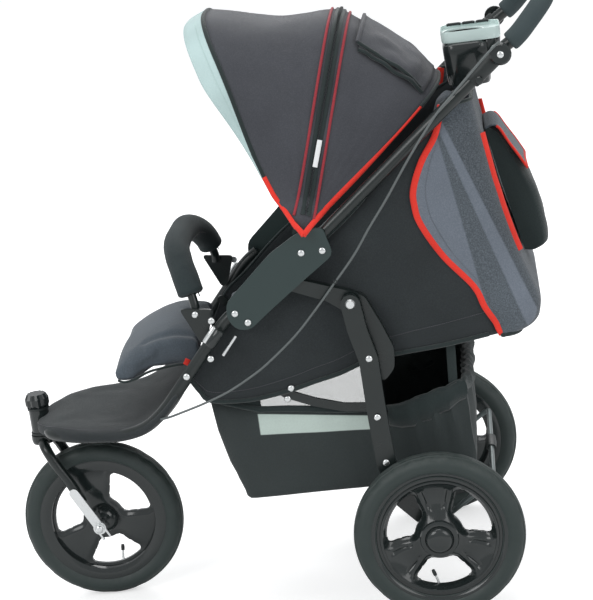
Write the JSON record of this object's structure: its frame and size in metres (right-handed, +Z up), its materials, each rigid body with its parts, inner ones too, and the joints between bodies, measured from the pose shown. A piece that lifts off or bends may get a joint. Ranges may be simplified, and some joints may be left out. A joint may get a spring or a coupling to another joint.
{
  "type": "baby stroller",
  "caption": "Folding jogging-style baby stroller with air tyres, a swivel front wheel, a folding hood, a reclining padded seat, a bumper bar, a cup tray and a fabric basket.",
  "frame": {"origin": "on the ground, below the middle of the stroller's length and width", "axes": "-X forwards, +Z up, -Y the stroller's left side, +Y its right side"},
  "size_m": [1.0994, 0.6008, 1.0888],
  "materials": {
    "black_tube": "semi-gloss black powder coat",
    "grey_plate": "satin dark grey",
    "gloss_plastic": "gloss black",
    "tyre": "matte rubber with a fine tread",
    "foam": "matte closed-cell foam",
    "charcoal_fabric": "plain weave",
    "slate_fabric": "melange weave",
    "mint_trim": "smooth woven trim",
    "mint_plastic": "pale translucent plastic",
    "silver": "zinc plated",
    "cable": "satin outer casing"
  },
  "bodies": {
    "seat_frame": {"push_tube_left": "black_tube", "push_tube_right": "black_tube", "hinge_plate_left": "grey_plate", "hinge_plate_right": "grey_plate", "seat_rail_left": "black_tube", "seat_rail_right": "black_tube", "handle_hub_left": "gloss_plastic", "handle_hub_right": "gloss_plastic", "console": "gloss_plastic", "console_tray": "mint_plastic", "seat_pad": "slate_fabric", "seat_side_left": "charcoal_fabric", "seat_side_right": "charcoal_fabric", "harness_buckle": "gloss_plastic", "hood_rear_bow": "black_tube", "basket": "charcoal_fabric", "brake_cable": "cable"},
    "front_frame": {"front_tube_left": "black_tube", "front_tube_right": "black_tube", "bumper_bracket_left": "black_tube", "bumper_bracket_right": "black_tube", "head_block": "gloss_plastic", "footrest": "charcoal_fabric"},
    "rear_legs": {"rear_leg_left": "black_tube", "rear_leg_right": "black_tube", "leg_pivot_pin_left": "silver", "leg_pivot_pin_right": "silver", "rear_axle": "black_tube"},
    "braces": {"brace_left": "black_tube", "brace_right": "black_tube"},
    "fork": {"fork": "black_tube", "dropout_left": "silver", "dropout_right": "silver", "front_axle": "silver"},
    "front_wheel": {"front_tyre": "tyre", "front_rim": "gloss_plastic"},
    "rear_wheel_left": {"rear_left_tyre": "tyre", "rear_left_rim": "gloss_plastic"},
    "rear_wheel_right": {"rear_right_tyre": "tyre", "rear_right_rim": "gloss_plastic"},
    "foot_brake": {"foot_brake": "silver"},
    "knob": {"swivel_knob": "gloss_plastic"},
    "latch_left": {"fold_latch_left": "gloss_plastic"},
    "latch_right": {"fold_latch_right": "gloss_plastic"},
    "bumper": {"bumper_bar": "black_tube", "bumper_pad": "foam"},
    "calf_rest": {"calf_rest": "slate_fabric"},
    "backrest": {"backrest_pad": "slate_fabric", "rear_shell": "slate_fabric", "rear_pocket": "charcoal_fabric"},
    "hood_middle": {"hood_middle_bow": "black_tube", "hood_rear_cloth": "charcoal_fabric", "roof_flap": "charcoal_fabric"},
    "hood_front": {"hood_front_bow": "black_tube", "hood_front_cloth": "charcoal_fabric", "hood_visor": "mint_trim"},
    "handle": {"handle_bar": "black_tube", "handle_grip": "foam"}
  },
  "joints": [
    {"name": "frame_fold", "type": "hinge", "parent": "seat_frame", "child": "front_frame", "pos_m": [-0.063, 0, 0.5855], "axis": [0, 1, 0], "range_deg": [0, 85], "deforming": ["brake_cable"]},
    {"name": "rear_leg_fold", "type": "hinge", "parent": "seat_frame", "child": "rear_legs", "pos_m": [0.141, 0, 0.583], "axis": [0, 1, 0], "range_deg": [0, 34]},
    {"name": "brace_fold", "type": "hinge", "parent": "rear_legs", "child": "braces", "pos_m": [0.163, 0, 0.373], "axis": [0, 1, 0], "range_deg": [-6, 0.5]},
    {"name": "fork_swivel", "type": "hinge", "parent": "front_frame", "child": "fork", "pos_m": [-0.489, 0, 0.36], "axis": [0, 0, 1], "continuous": true},
    {"name": "front_wheel_spin", "type": "hinge", "parent": "fork", "child": "front_wheel", "pos_m": [-0.3975, 0, 0.1525], "axis": [0, 1, 0], "continuous": true},
    {"name": "rear_wheel_left_spin", "type": "hinge", "parent": "rear_legs", "child": "rear_wheel_left", "pos_m": [0.2478, -0.2604, 0.1525], "axis": [0, 1, 0], "continuous": true},
    {"name": "rear_wheel_right_spin", "type": "hinge", "parent": "rear_legs", "child": "rear_wheel_right", "pos_m": [0.2478, 0.2604, 0.1525], "axis": [0, 1, 0], "continuous": true},
    {"name": "foot_brake_press", "type": "hinge", "parent": "rear_legs", "child": "foot_brake", "pos_m": [0.2478, 0, 0.1525], "axis": [0, 1, 0], "range_deg": [0, 20]},
    {"name": "swivel_lock", "type": "hinge", "parent": "front_frame", "child": "knob", "pos_m": [-0.489, 0, 0.4], "axis": [0, 0, 1], "range_deg": [0, 90]},
    {"name": "fold_latch_left_slide", "type": "slide", "parent": "front_frame", "child": "latch_left", "axis": [-0.6392, 0, -0.769], "range_m": [0, 0.02], "stiffness_N_per_m": 150},
    {"name": "fold_latch_right_slide", "type": "slide", "parent": "front_frame", "child": "latch_right", "axis": [-0.6392, 0, -0.769], "range_m": [0, 0.02], "stiffness_N_per_m": 150},
    {"name": "bumper_tilt", "type": "hinge", "parent": "front_frame", "child": "bumper", "pos_m": [-0.137, 0, 0.584], "axis": [0, 1, 0], "range_deg": [-30, 0]},
    {"name": "calf_rest_tilt", "type": "hinge", "parent": "front_frame", "child": "calf_rest", "pos_m": [-0.152, 0, 0.512], "axis": [0, 1, 0], "range_deg": [0, 30]},
    {"name": "backrest_recline", "type": "hinge", "parent": "seat_frame", "child": "backrest", "pos_m": [0.235, 0, 0.485], "axis": [0, 1, 0], "range_deg": [0, 26]},
    {"name": "hood_fold", "type": "hinge", "parent": "seat_frame", "child": "hood_middle", "pos_m": [0.073, 0, 0.711], "axis": [0, 1, 0], "range_deg": [0, 28], "deforming": ["hood_rear_cloth", "roof_flap"]},
    {"name": "hood_front_fold", "type": "hinge", "parent": "hood_middle", "child": "hood_front", "pos_m": [0.073, 0, 0.711], "axis": [0, 1, 0], "range_deg": [0, 28], "deforming": ["hood_front_cloth"]},
    {"name": "handle_tilt", "type": "hinge", "parent": "seat_frame", "child": "handle", "pos_m": [0.446, 0, 0.985], "axis": [0, 1, 0], "range_deg": [-40, 40]}
  ],
  "couplings": [
    {"joint": "rear_leg_fold", "follows": "frame_fold", "ratio": 0.392},
    {"joint": "brace_fold", "follows": "frame_fold", "ratio": -0.067},
    {"joint": "hood_front_fold", "follows": "hood_fold", "ratio": 1}
  ]
}
